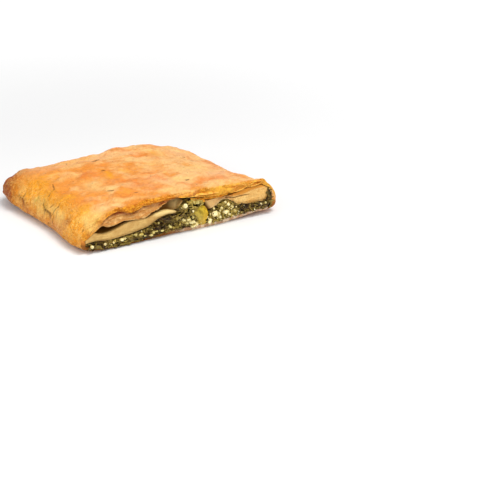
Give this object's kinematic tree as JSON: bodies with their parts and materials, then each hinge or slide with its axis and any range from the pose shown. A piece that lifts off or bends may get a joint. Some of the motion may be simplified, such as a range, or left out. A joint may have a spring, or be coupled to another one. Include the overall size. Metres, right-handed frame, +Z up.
{
  "type": "half spinach bougatsa",
  "caption": "Half of a flat puff pastry packet, cut across, with pale inner sheets over a chopped spinach and white cheese filling that shows at the cut.",
  "frame": {"origin": "on the surface that the pastry rests on, under the middle of its outline", "axes": "+X along the cut, to the right as seen from in front of the cut; +Y from the cut to the closed end; +Z up"},
  "size_m": [0.1214, 0.1032, 0.0231],
  "materials": {
    "crust": "golden baked puff pastry, satin with butter, browned in patches",
    "inner_pastry": "pale soft dough, matt",
    "filling": "moist cooked spinach with crumbled white cheese"
  },
  "bodies": {
    "root": {"crust": "crust", "inner_pastry": "inner_pastry", "filling": "filling"}
  },
  "joints": []
}
